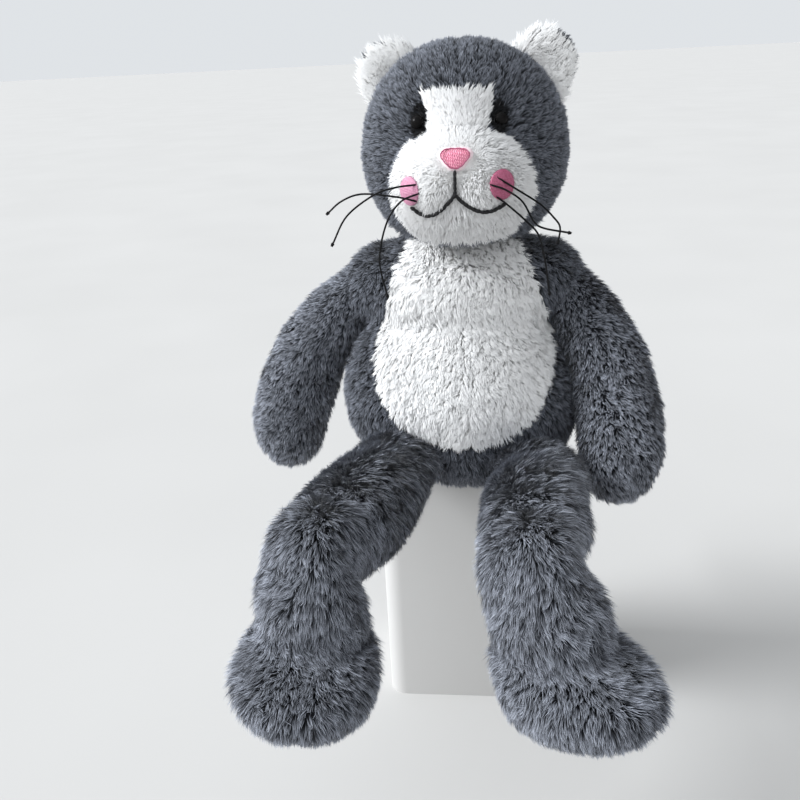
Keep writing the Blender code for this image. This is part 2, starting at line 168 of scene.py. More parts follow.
def mottled(name, roughness, scale, dark, light, plain, detail=2.0, **constants):
    """Nodes for a surface that drifts between a dark and a light tone."""
    made = Nodes(name, roughness, **constants)
    made.colour(made.ramp(made.noise(scale, detail), [(0.3, dark), (0.7, light)]), plain)
    return made


def backing_material(name, dark, light):
    """The knitted backing under the pile, its colour darkened as painted shade under the pile."""
    made = mottled(name, 0.9, 420, dark, light, dark, 3.0, Specular_IOR_Level=0.2)
    made.bump(made.noise(2600), 0.5, 0.0004)
    return made.material


def thread_material(name, dark, light, roughness, sheen):
    """Embroidery thread, with fine strands."""
    made = mottled(name, roughness, 1100, dark, light, light, Sheen_Weight=sheen, Sheen_Roughness=0.3)
    made.bump(made.noise(4200), 0.5, 0.0002)
    return made.material


# the head, body and tail, then the limbs, the painted shade round the eyes, the face, and last the
# belly and ears
GREY_TUFTS = tuft_material(
    "grey_tufts", (0.010, 0.011, 0.012), (0.080, 0.087, 0.104), (0.36, 0.385, 0.45), 0.62)
SILVER_TUFTS = tuft_material(
    "silver_tufts", (0.010, 0.011, 0.012), (0.100, 0.108, 0.130), (0.66, 0.70, 0.80), 0.72)
# near-black pile round the eyes: painted shade, standing for the deep shadow round the sunken eyes
EYE_SHADE_TUFTS = tuft_material(
    "dark_tufts", (0.003, 0.003, 0.003), (0.008, 0.008, 0.009), (0.025, 0.026, 0.030), 0.4)
# one white plush in two copies: the face's darker as painted shade where the window light falls
# hardest, the belly's and ears' lighter as painted light
WHITE_TUFTS = tuft_material(
    "white_tufts", (0.80, 0.79, 0.77), (0.83, 0.825, 0.82), (0.86, 0.86, 0.86), 0.04)
BRIGHT_TUFTS = tuft_material(
    "bright_tufts", (0.97, 0.96, 0.945), (0.975, 0.97, 0.96), (0.98, 0.98, 0.98), 0.03)
# the backings, darker than their pile: painted shade where the pile covers them
GREY_BACKING = backing_material("grey_backing", (0.012, 0.013, 0.016), (0.030, 0.032, 0.038))
WHITE_BACKING = backing_material("white_backing", (0.74, 0.73, 0.71), (0.80, 0.79, 0.78))


# ---------------------------------------------------------------- objects and meshes

def add_object(name, data, *materials):
    made = bpy.data.objects.new(name, data)
    for material in materials:
        made.data.materials.append(material)
    bpy.context.scene.collection.objects.link(made)
    return made


def settle(made):
    """Replaces an object's mesh with what its modifiers make of it."""
    graph = bpy.context.evaluated_depsgraph_get()
    mesh = bpy.data.meshes.new_from_object(made.evaluated_get(graph))
    old = made.data
    made.modifiers.clear()
    made.data = mesh
    bpy.data.meshes.remove(old)


def mesh_from(shape, name):
    """A bmesh as a smooth mesh."""
    mesh = bpy.data.meshes.new(name)
    shape.to_mesh(mesh)
    shape.free()
    mesh.shade_smooth()
    return mesh


def vectors_of(items, key):
    """One vector of each item in a mesh, as rows."""
    values = np.empty(len(items) * 3, np.float32)
    items.foreach_get(key, values)
    return values.reshape(-1, 3).astype(float)


def points_of(mesh):
    return vectors_of(mesh.vertices, "co")


def normals_of(mesh):
    return vectors_of(mesh.vertex_normals, "vector")


def centres_of(mesh):
    return vectors_of(mesh.polygons, "center")


def tree_of(mesh):
    """A mesh as a tree, for nearest points and ray casts."""
    points = [v.co for v in mesh.vertices]
    return BVHTree.FromPolygons(points, [tuple(p.vertices) for p in mesh.polygons])


def put_points(mesh, points):
    mesh.vertices.foreach_set("co", points.astype(np.float32).ravel())
    mesh.update()


def unit(vectors):
    return vectors / np.maximum(np.linalg.norm(vectors, axis=-1, keepdims=True), 1e-9)


def ease(x):
    """Smooth from 0 to 1 as x goes from 0 to 1."""
    x = np.clip(x, 0, 1)
    return x * x * (3 - 2 * x)


def joined(nodes, fillers):
    """CAD nodes as one mesh, with round fillers given as (centre, radii)."""
    shape = bmesh.new()
    for name in nodes:
        shape.from_mesh(frame["nodes"][name].data)
    for centre, radii in fillers:
        place = Matrix.Translation(centre) @ Matrix.Diagonal((*radii, 1))
        bmesh.ops.create_icosphere(shape, subdivisions=3, radius=1, matrix=place)
    mesh = bpy.data.meshes.new("joined")
    shape.to_mesh(mesh)
    shape.free()
    return mesh


def keep_largest(mesh):
    """Drops every loose island but the largest."""
    shape = bmesh.new()
    shape.from_mesh(mesh)
    left = set(shape.verts)
    islands = []
    while left:
        seed = left.pop()
        island, edge = {seed}, [seed]
        while edge:
            for link in edge.pop().link_edges:
                for end in link.verts:
                    if end in left:
                        left.discard(end)
                        island.add(end)
                        edge.append(end)
        islands.append(island)
    islands.sort(key=len)
    small = [v for island in islands[:-1] for v in island]
    bmesh.ops.delete(shape, geom=small, context="VERTS")
    shape.to_mesh(mesh)
    shape.free()


def swell(made, cap):
    """Cloth pressure rounds the skin, and no point moves further than cap."""
    before = points_of(made.data)
    cloth = made.modifiers.new("swell", "CLOTH")
    cloth.settings.use_pressure = True
    cloth.settings.uniform_pressure_force = 4.0
    cloth.settings.effector_weights.gravity = 0
    for moment in range(1, SWELL_FRAMES + 1):
        bpy.context.scene.frame_set(moment)
    settle(made)
    moved = points_of(made.data) - before
    moved -= moved.mean(axis=0)
    far = np.linalg.norm(moved, axis=1, keepdims=True)
    put_points(made.data, before + moved * np.minimum(1, cap / np.maximum(far, 1e-9)))
    bpy.context.scene.frame_set(1)


def panel_of(points, panels):
    """For each point, the index of the nearest CAD panel."""
    best, owner = np.full(len(points), np.inf), np.zeros(len(points), int)
    for i, name in enumerate(panels):
        tree = tree_of(frame["nodes"][name].data)
        far = np.array([tree.find_nearest(Vector(p))[3] for p in points])
        closer = far < best
        best[closer], owner[closer] = far[closer], i
    return owner


def make_skin(name, panels, hidden, fillers=(), voxel=0.004, soften=6, inset=0.003, cap=0.003,
              white=None, seam=0.0016, shape=None):
    """The sewn skin of one stuffed body, as an object with grey and white backing.

    panels are the CAD covers that it stands for, and each meeting of two is a sewn seam that
    pulls in. hidden are the CAD fillings inside it. white is a rule for the white faces, and shape
    moves the points. Returns the skin, which faces are white, and how near each point is to a seam.
    """
    made = add_object(name, joined([*panels, *hidden], fillers))
    remesh = made.modifiers.new("remesh", "REMESH")
    remesh.mode = "VOXEL"
    remesh.voxel_size = voxel
    smooth = made.modifiers.new("smooth", "SMOOTH")
    smooth.factor = 0.5
    smooth.iterations = soften
    settle(made)
    keep_largest(made.data)
    put_points(made.data, points_of(made.data) - inset * normals_of(made.data))
    if shape:
        put_points(made.data, shape(points_of(made.data)))
    swell(made, cap)
    finer = made.modifiers.new("finer", "SUBSURF")
    finer.levels = finer.render_levels = 1
    settle(made)

    mesh = made.data
    points = points_of(mesh)
    owner = panel_of(points, panels)
    edges = np.empty(len(mesh.edges) * 2, np.int32)
    mesh.edges.foreach_get("vertices", edges)
    edges = edges.reshape(-1, 2)
    near = np.zeros(len(points))
    near[edges[owner[edges[:, 0]] != owner[edges[:, 1]]].ravel()] = 1
    for _ in range(2):
        total, count = near.copy(), np.ones(len(near))
        for a, b in ((0, 1), (1, 0)):
            np.add.at(total, edges[:, a], near[edges[:, b]])
            np.add.at(count, edges[:, a], 1)
        near = total / count
    near = np.minimum(1, near * 1.5)
    put_points(mesh, points - seam * near[:, None] * normals_of(mesh))
    mesh.polygons.foreach_set("use_smooth", np.ones(len(mesh.polygons), bool))
    for material in (GREY_BACKING, WHITE_BACKING):
        mesh.materials.append(material)
    centres = centres_of(mesh)
    is_white = np.zeros(len(centres), bool) if white is None else white(centres, panels)
    mesh.polygons.foreach_set("material_index", is_white.astype(np.int32))
    mesh.update()
    return made, is_white, near


def on_panels(*names):
    """A rule that picks the faces nearest to these CAD panels."""
    def rule(centres, panels):
        return np.isin(panel_of(centres, panels), [panels.index(n) for n in names])
    return rule


def stuffed(skin, slot, *nodes):
    """Hides the CAD solids that a skin stands for."""
    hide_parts(*nodes)


def part_of_skin(name, skin, chosen):
    """A copy of a skin with only the chosen faces."""
    made = add_object(name, skin.data.copy())
    shape = bmesh.new()
    shape.from_mesh(made.data)
    shape.faces.ensure_lookup_table()
    bmesh.ops.delete(shape, geom=[f for f in shape.faces if not chosen[f.index]], context="FACES")
    shape.to_mesh(made.data)
    shape.free()
    return made


# ---------------------------------------------------------------- pile

TABLE_SIZE = 65536
RANDOM_TABLE = np.random.default_rng(5).random((TABLE_SIZE, 3))
SPREAD = np.array([73856093, 19349663, 83492791])


def clump_of(points, size, seed):
    """The middle of the clump that each point belongs to, and a random vector of that clump."""
    base = np.floor(points / size).astype(np.int64)
    best = np.full(len(points), np.inf)
    middle, key = np.zeros_like(points), np.zeros(len(points), np.int64)
    for offset in product((-1, 0, 1), repeat=3):
        cell = base + np.array(offset)
        code = (cell @ SPREAD + seed * 7919) % TABLE_SIZE
        spot = (cell + RANDOM_TABLE[code]) * size
        far = ((points - spot) ** 2).sum(axis=1)
        closer = far < best
        best[closer], middle[closer], key[closer] = far[closer], spot[closer], code[closer]
    return middle, RANDOM_TABLE[(key + 12345) % TABLE_SIZE] * 2 - 1


def roots_on(skin, chosen, near, density, rng):
    """Root points spread evenly over the chosen faces, with their normals and seam nearness."""
    mesh = skin.data
    mesh.calc_loop_triangles()
    corners = np.empty(len(mesh.loop_triangles) * 3, np.int32)
    mesh.loop_triangles.foreach_get("vertices", corners)
    face = np.empty(len(mesh.loop_triangles), np.int32)
    mesh.loop_triangles.foreach_get("polygon_index", face)
    corners = corners.reshape(-1, 3)[chosen[face]]
    points, normals = points_of(mesh), normals_of(mesh)
    a, b, c = (points[corners[:, i]] for i in range(3))
    area = np.linalg.norm(np.cross(b - a, c - a), axis=1) / 2
    count = int(area.sum() * density)
    pick = rng.choice(len(area), count, p=area / area.sum())
    u, v = rng.random((2, count, 1))
    flip = u + v > 1
    u, v = np.where(flip, 1 - u, u), np.where(flip, 1 - v, v)
    weights = (1 - u - v, u, v)
    ends = [corners[pick, i] for i in range(3)]
    place = sum(w * points[e] for w, e in zip(weights, ends))
    out = unit(sum(w * normals[e] for w, e in zip(weights, ends)))
    seam = sum(w[:, 0] * near[e] for w, e in zip(weights, ends))
    return place, out, seam


def grow(name, skin, chosen, near, material, length, flow, seed, density=1.8e6, width=0.0006,
         clump=0.0034, lean=0.8, gather=0.5, wild=0.45, wave=0.35, trim=None, calm=0.45, twist=0.3):
    """Tufts on the chosen faces of a skin, as one mesh of tapered blades.

    flow gives the way that the pile is brushed at each root, and trim a share of the length there.
    lean lays the tufts over, gather pulls them to the middle of their clump, and wild and wave
    turn each clump and each patch of clumps. calm is how far the light on a tuft follows the skin
    under it, and twist how far its blades turn away from the skin.
    """
    rng = np.random.default_rng(seed)
    root, out, seam = roots_on(skin, chosen, near, density, rng)
    share = np.ones(len(root)) if trim is None else trim(root)
    root, out, seam, share = (values[share > 0.05] for values in (root, out, seam, share))
    count = len(root)
    middle, mood = clump_of(root, clump, seed)
    swirl = clump_of(root, 4.5 * clump, seed + 1)[1]
    brushed = flow(root, out)
    along = brushed - (brushed * out).sum(axis=1, keepdims=True) * out
    along = unit(unit(along) + wild * mood + wave * swirl + 0.15 * rng.normal(size=(count, 3)))
    along -= (along * out).sum(axis=1, keepdims=True) * out
    long = length * (0.72 + 0.5 * rng.random(count)) * (1 - 0.15 * seam)
    long *= 1 + 0.18 * mood[:, 0]
    long = (long * share)[:, None]
    to_middle = middle - root
    to_middle -= (to_middle * out).sum(axis=1, keepdims=True) * out
    # each blade rises to a knee, and lies over from there to its tip
    knee = root + long * (0.36 * out + 0.5 * lean * 0.55 * along) + 0.35 * gather * to_middle
    tip = knee + long * (0.20 * out + 0.5 * lean * 0.95 * along) + 0.65 * gather * to_middle
    side = np.cross(tip - root, out + twist * rng.normal(size=(count, 3)))
    side = unit(side) * (width / 2) * (0.8 + 0.5 * rng.random((count, 1)))
    root = root - 0.0004 * out
    blades = np.stack([root - side, root + side, knee - 0.8 * side, knee + 0.8 * side, tip], axis=1)

    start = 5 * np.arange(count)[:, None]
    triangles = (start + np.array([[0, 1, 2, 1, 3, 2, 2, 3, 4]])).ravel().astype(np.int32)
    mesh = bpy.data.meshes.new(name)
    mesh.vertices.add(5 * count)
    mesh.loops.add(9 * count)
    mesh.polygons.add(3 * count)
    mesh.vertices.foreach_set("co", blades.astype(np.float32).ravel())
    mesh.loops.foreach_set("vertex_index", triangles)
    mesh.polygons.foreach_set("loop_start", np.arange(0, 9 * count, 3, dtype=np.int32))
    mesh.polygons.foreach_set("use_smooth", np.ones(3 * count, bool))
    # the material reads the tuft's own tone from U, and how far along the tuft it is from V
    tone = np.clip(0.5 + 0.28 * mood[:, 1] + 0.22 * rng.normal(size=count), 0.03, 0.97)
    spot = np.empty((count, 5, 2))
    spot[:, :, 0] = tone[:, None] + np.array([-0.02, 0.02, -0.015, 0.015, 0.0])
    spot[:, :, 1] = np.array([0.01, 0.01, 0.5, 0.5, 0.99])
    layer = mesh.uv_layers.new(name=UV_NAME)
    layer.data.foreach_set("uv", spot.reshape(-1, 2)[triangles].astype(np.float32).ravel())
    mesh.update(calc_edges=True)
    # soft shading: between the way that the blade faces and the way that the skin faces
    own = unit(np.cross(side, tip - knee))
    shown = unit(calm * out + (1 - calm) * own)
    mesh.normals_split_custom_set_from_vertices(np.repeat(shown, 5, axis=0))
    return add_object(name, mesh, material)


# ---------------------------------------------------------------- cords

WHISKER_DIAMETER = 0.0012
KNOT_RADII = (0.00105, 0.00105, 0.0014)
# points along each whisker, in millimetres, as on the CAD model
WHISKER_ROUTES = {
    "whisker_right_upper": [
        (-26, -58, 203), (-39, -61, 202), (-52, -62, 198), (-69, -63, 186), (-79, -64, 169)],
    "whisker_right_middle": [
        (-26, -58, 193), (-39, -57, 196), (-60, -55, 198), (-73, -55, 194), (-82, -56, 187)],
    "whisker_right_lower": [
        (-24, -59, 198), (-36, -60, 193), (-45, -62, 180), (-50, -64, 158), (-46, -66, 136)],
    "whisker_left_upper": [
        (23, -59, 206), (34, -59, 199), (49, -58, 189), (57, -58, 181), (61, -59, 175), (60, -60, 166)],
    "whisker_left_middle": [
        (19, -61, 202), (28, -63, 199), (38, -64, 192), (45, -65, 180), (51, -66, 176), (66, -67, 173)],
    "whisker_left_lower": [
        (21, -60, 196), (30, -60, 189), (41, -60, 179), (48, -61, 171), (52, -62, 156), (55, -64, 135)],
}


def smooth_route(points, count):
    """Points at even steps of a cardinal curve through a route given in millimetres."""
    knots = [Vector(p) / 1000 for p in points]
    knots = [2 * knots[0] - knots[1], *knots, 2 * knots[-1] - knots[-2]]
    route = []
    for i in range(count):
        along = i * (len(points) - 1) / (count - 1)
        k = min(int(along), len(points) - 2)
        t = along - k
        a, b, c, d = knots[k:k + 4]
        route.append(0.5 * (2 * b + (c - a) * t + (2 * a - 5 * b + 4 * c - d) * t ** 2
                            + (3 * b - a - 3 * c + d) * t ** 3))
    return route


def make_whiskers():
    wax = mottled("waxed_cord", 0.6, 900, (0.002, 0.002, 0.002), (0.008, 0.008, 0.009),
                  (0.005, 0.005, 0.005), Specular_IOR_Level=0.15)
    wax.bump(wax.noise(2400), 0.5, 0.0002)
    for name, points in WHISKER_ROUTES.items():
        route = smooth_route(points, 37)
        curve = bpy.data.curves.new(name + "_cord", "CURVE")
        curve.dimensions = "3D"
        curve.bevel_depth = WHISKER_DIAMETER / 2
        curve.bevel_resolution = 3
        curve.use_fill_caps = True
        spline = curve.splines.new("POLY")
        spline.points.add(len(route) - 1)
        for point, place in zip(spline.points, route):
            point.co = (*place, 1)
        cord = add_object(name + "_cord", curve, wax.material)
        shape = bmesh.new()
        bmesh.ops.create_uvsphere(shape, u_segments=14, v_segments=10, radius=1)
        for vertex in shape.verts:
            turn = np.arctan2(vertex.co.y, vertex.co.x)
            vertex.co *= 1 + 0.12 * sin(2 * turn + 5 * vertex.co.z)
        knot = add_object(name + "_knot", mesh_from(shape, name + "_knot"), wax.material)
        way = (route[-1] - route[-2]).normalized().to_track_quat("Z", "Y").to_matrix().to_4x4()
        knot.matrix_world = Matrix.Translation(route[-1]) @ way @ Matrix.Diagonal((*KNOT_RADII, 1))
        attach(cord, "head")
        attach(knot, "head")
        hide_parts(name)


# ---------------------------------------------------------------- bodies

def middle_of(*nodes):
    low = np.min([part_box(n)[0] for n in nodes], axis=0)
    high = np.max([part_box(n)[1] for n in nodes], axis=0)
    return Vector((low + high) / 2)


def ball(centre, radius):
    """A round filler for make_skin."""
    return Vector(centre), Vector((radius, radius, radius))


def finish_pile(pile, slot, body, other=None, start=None, end=None):
    """Attaches a pile to ride a body, or, when another body is given, bakes its place into its points;
    start and end are not used.
    """
    if other:
        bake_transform(pile)
    else:
        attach(pile, body)


def belly_rule(centres, _):
    """The egg of the belly patch, wide at the neck and rounded at the bottom."""
    low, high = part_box("belly_patch")
    half = high.x - 0.001
    bottom = low.z + 0.004
    widest = low.z + 0.46 * (high.z - low.z)
    x, y, z = centres.T
    up = (z - widest) / (high.z - widest)
    under = (widest - z) / (widest - bottom)
    width = np.where(up > 0, half - 0.012 * up ** 2, half * np.sqrt(np.clip(1 - under ** 2, 0, 1)))
    return (np.abs(x) < width) & (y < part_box("torso_side_left")[1].y)


def make_torso():
    panels = ["torso_side_left", "torso_side_right", "torso_back_left", "torso_back_right",
              "belly_patch", "seat_gusset"]
    hidden = ["torso_stuffing", "seat_pellet_bag", "neck_stuffing"]
    neck = JOINT["neck_turn"]
    collar = (neck + Vector((0, -0.003, -0.006)), Vector((0.054, 0.040, 0.030)))
    lap = (middle_of("seat_pellet_bag") + Vector((0, 0, 0.029)), Vector((0.074, 0.058, 0.040)))
    chest = (neck + Vector((0, -0.013, -0.030)), Vector((0.060, 0.042, 0.046)))
    fillers = [collar, lap, chest]
    for side, sign in SIDES.items():
        inwards = Vector((-0.010 * sign, 0, -0.002))
        fillers.append(ball(JOINT[f"shoulder_{side}_swing"] + inwards, 0.030))

    def slump(points):
        """The body sags over to its right, and a little at the front, where it bulges out."""
        x, y, z = points.T
        waist = np.exp(-((z - 0.074) / 0.050) ** 2)
        to_right = 0.018 * ease((-x - 0.02) / 0.05) - 0.006 * ease((x - 0.02) / 0.05)
        moved = points - np.array([1, 0, 0]) * (waist * to_right)[:, None]
        moved[:, 2] -= 0.008 * ease((-y - 0.034) / 0.02) * ease((0.03 - z) / 0.03)
        return moved
    skin, white, near = make_skin("torso_skin", panels, hidden, fillers, inset=0.001, white=belly_rule,
                                  shape=slump)
    stuffed(skin, "grey_plush", *panels, *hidden)
    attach(skin, "torso")

    def flow(root, out):
        """Down, and outwards from the middle."""
        return np.stack([root[:, 0] * 2.0, 0 * root[:, 0], -1 + 0 * root[:, 0]], axis=1)
    grey = grow("torso_pile", skin, ~white, near, GREY_TUFTS, 0.0088, flow, 11, lean=0.65, gather=0.4)
    belly = grow("belly_pile", skin, white, near, BRIGHT_TUFTS, 0.0078, flow, 12, density=2.9e6,
                 width=0.0008, lean=0.8, gather=0.25, calm=0.85, twist=0.1)
    finish_pile(grey, "grey_plush", "torso")
    finish_pile(belly, "white_plush", "torso")


def far_from(root, spots, near, far, least):
    """1 away from the spots, easing down to least within near of any of them."""
    share = np.ones(len(root))
    for spot in spots:
        gap = np.linalg.norm(root - np.array(spot), axis=1)
        share = np.minimum(share, least + (1 - least) * ease((gap - near) / (far - near)))
    return share


def shrunk(mesh, chosen):
    """The chosen faces without those that touch a face that isn't chosen."""
    mixed = np.zeros(len(mesh.vertices), bool)
    for polygon, inside in zip(mesh.polygons, chosen):
        if not inside:
            mixed[list(polygon.vertices)] = True
    return np.array([inside and not mixed[list(polygon.vertices)].any()
                     for polygon, inside in zip(mesh.polygons, chosen)])


# ---------------------------------------------------------------- face

class Face:
    """The front of the head, for laying embroidery on."""

    def __init__(self, skin):
        self.tree = tree_of(skin.data)

    def at(self, x, z, height=0.0):
        """The point on the skin straight behind (x, z), lifted off it by a height."""
        place, out = self.tree.ray_cast(Vector((x, -1, z)), Vector((0, 1, 0)))[:2]
        return place + height * (out * 0.5 + Vector((0, -0.5, 0))).normalized()


def patch_size(node):
    """The middle and half sizes of an embroidered patch."""
    low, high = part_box(node)
    return (low + high) / 2, (high.x - low.x) / 2, (high.z - low.z) / 2


def make_patch(name, face, middle, outline, rings, spokes, height):
    """A domed patch of stitches. outline gives (x, z) from the middle for a turn, height the lift."""
    shape = bmesh.new()
    loops = []
    for i in range(1, rings + 1):
        share = i / rings
        loop = []
        for j in range(spokes):
            x, z = outline(2 * pi * j / spokes)
            x, z = middle.x + share * x, middle.z + share * z
            loop.append(shape.verts.new(face.at(x, z, height(share, x, z))))
        loops.append(loop)
    hub = shape.verts.new(face.at(middle.x, middle.z, height(0, middle.x, middle.z)))
    for j in range(spokes):
        k = (j + 1) % spokes
        shape.faces.new((hub, loops[0][j], loops[0][k]))
        for inner, outer in zip(loops, loops[1:]):
            shape.faces.new((inner[j], outer[j], outer[k], inner[k]))
    bmesh.ops.recalc_face_normals(shape, faces=shape.faces)
    return mesh_from(shape, name)


def stitch_heights(lift, dome, ridge, spacing):
    """Satin stitches that run down a patch, tucked under at its rim."""
    tuck = 0.0008

    def height(share, x, z):
        rim = float(ease((1.0 - share) / 0.12))
        threads = sin(2 * pi * x / spacing + 1.3 * sin(z * 2600)) + 0.6 * sin(z * 4100 + 900 * x)
        return -tuck + rim * (lift + tuck + dome * (1 - share ** 2) + ridge * threads)
    return height


def make_stitches(name, face, path, radius, lift, material, spacing=0.0026):
    """Overlapping stitches along a path of (x, z) points, as one piece. Returns their middles.

    The thread is pulled tight, so it lies over hollows in the face: first on the foremost of the
    steps within a reach, then smoothed over a shorter one.
    """
    step, reach, soften = 0.0004, 9, 5
    dense = []
    for (x0, z0), (x1, z1) in zip(path, path[1:]):
        steps = max(1, round(float(np.hypot(x1 - x0, z1 - z0)) / step))
        for t in range(steps):
            dense.append(face.at(x0 + (x1 - x0) * t / steps, z0 + (z1 - z0) * t / steps, lift))
    fronts = [min(p.y for p in dense[max(0, i - reach):i + reach + 1]) for i in range(len(dense))]
    for place, front in zip(dense, fronts):
        place.y = front
    padded = [dense[0]] * soften + dense + [dense[-1]] * soften
    window = 2 * soften + 1
    dense = [sum(padded[i:i + window], Vector()) / window for i in range(len(dense))]
    shape = bmesh.new()
    places = []
    travelled, turn = spacing, 1
    for before, after in zip(dense, dense[1:]):
        travelled += (after - before).length
        if travelled < spacing:
            continue
        travelled, turn = 0, -turn
        way = (dense[min(dense.index(after) + 3, len(dense) - 1)] - before).normalized()
        place = Matrix.Translation(after) @ way.to_track_quat("Z", "Y").to_matrix().to_4x4()
        place = place @ Matrix.Rotation(radians(7 * turn), 4, "X")
        size = Matrix.Diagonal((radius, radius, spacing * 0.82, 1))
        bmesh.ops.create_uvsphere(shape, u_segments=10, v_segments=8, radius=1, matrix=place @ size)
        places.append(after)
    made = add_object(name, mesh_from(shape, name), material)
    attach(made, "head")
    return made, places


PINK_THREAD = thread_material("pink_thread", (0.66, 0.18, 0.29), (0.92, 0.42, 0.54), 0.5, 0.3)
# the right cheek's thread, a lighter copy of the left cheek's rose: painted light
LIT_CHEEK_THREAD = thread_material("blush_thread", (0.52, 0.19, 0.31), (0.68, 0.34, 0.47), 0.55, 0.3)
ROSE_THREAD = thread_material("rose_thread", (0.36, 0.07, 0.14), (0.50, 0.14, 0.24), 0.55, 0.2)
PALE_THREAD = thread_material("pale_thread", (0.88, 0.66, 0.71), (0.95, 0.80, 0.83), 0.6, 0.2)
BLACK_THREAD = thread_material("black_thread", (0.002, 0.002, 0.002), (0.007, 0.007, 0.008), 0.8, 0.0)


def make_nose(face):
    """A rounded triangle of pink stitches with a pale halo and a rose edge."""
    middle, half_width, half_height = patch_size("nose_embroidery")
    middle += Vector((-0.0018, 0, 0.14 * half_height))

    def outline(turn, grown=1.0):
        reach = grown * (1 + 0.14 * cos(3 * (turn + pi / 2)))
        return 0.93 * half_width * reach * cos(turn), 0.82 * half_height * reach * sin(turn)
    halo = make_patch("nose_halo", face, middle, lambda turn: outline(turn, 1.28), 10, 60,
                      stitch_heights(0.0018, 0.0006, 0.0001, 0.0011))
    fill = make_patch("nose_stitching", face, middle, outline, 44, 200,
                      stitch_heights(0.0026, 0.0012, 0.00026, 0.0013))
    halo = add_object("nose_halo", halo, PALE_THREAD)
    fill = add_object("nose_stitching", fill, PINK_THREAD)
    rim = [outline(2 * pi * j / 48, 0.98) for j in range(49)]
    rim = [(middle.x + x, middle.z + z) for x, z in rim]
    edge = make_stitches("nose_outline", face, rim, 0.0005, 0.0026, ROSE_THREAD, 0.0018)[0]
    for piece in (halo, fill):
        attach(piece, "head")
    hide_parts("nose_embroidery")


def cheek_size(side):
    """The cheek spots are uneven: the left one is wider, and set higher and nearer the mouth."""
    middle, half_width, half_height = patch_size(f"cheek_spot_{side}")
    if side == "left":
        return middle + Vector((-0.0042, 0, 0.0026)), 1.25 * half_width, 1.05 * half_height
    return middle, 1.05 * half_width, 1.05 * half_height


def make_cheeks(face):
    # the right cheek's lighter thread is painted light and the left cheek's darker rose is painted
    # shade: lit and shaded copies of one pink
    for side, thread in (("left", ROSE_THREAD), ("right", LIT_CHEEK_THREAD)):
        node = f"cheek_spot_{side}"
        middle, half_width, half_height = cheek_size(side)

        def outline(turn):
            return half_width * cos(turn), half_height * sin(turn)
        mesh = make_patch(node, face, middle, outline, 30, 120,
                          stitch_heights(0.0022, 0.0008, 0.00014, 0.0009))
        spot = add_object(f"{node}_stitching", mesh, thread)
        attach(spot, "head")
        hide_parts(node)


def make_mouth(face):
    """A line down from the nose that forks into two smiling arcs."""
    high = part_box("mouth_stitching")[1]
    fork = high.z - 0.0120
    middle = -0.0026
    line = [(middle + 0.0005, high.z + 0.001), (middle, fork)]
    piece, places = make_stitches("mouth_line", face, line, 0.0011, 0.0022, BLACK_THREAD)
    for side, sign in SIDES.items():
        depth, reach = (0.0105, 0.0300) if sign > 0 else (0.0120, 0.0262)
        arc = []
        for i in range(13):
            share = i / 12
            arc.append((middle + sign * reach * share, fork - depth * sin(pi * share / 1.25)))
        piece, more = make_stitches(f"mouth_arc_{side}", face, arc, 0.00125, 0.0026, BLACK_THREAD)
        places += more
    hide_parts("mouth_stitching")
    return places


def make_eyes():
    """The safety eyes and their washers keep their solids, shaded smooth, and get plastic."""
    shine = mottled("eye_plastic", 0.2, 300, (0.003, 0.003, 0.003), (0.008, 0.007, 0.007),
                    (0.005, 0.005, 0.005), Specular_IOR_Level=0.08)
    washer = mottled("washer_plastic", 0.45, 500, (0.70, 0.70, 0.69), (0.78, 0.78, 0.77),
                     (0.75, 0.75, 0.74))
    for side in SIDES:
        for node, made in ((f"eye_{side}", shine), (f"eye_washer_{side}", washer)):
            solid = frame["nodes"][node]
            solid.data.materials.clear()
            solid.data.materials.append(made.material)
            solid.data.shade_smooth()


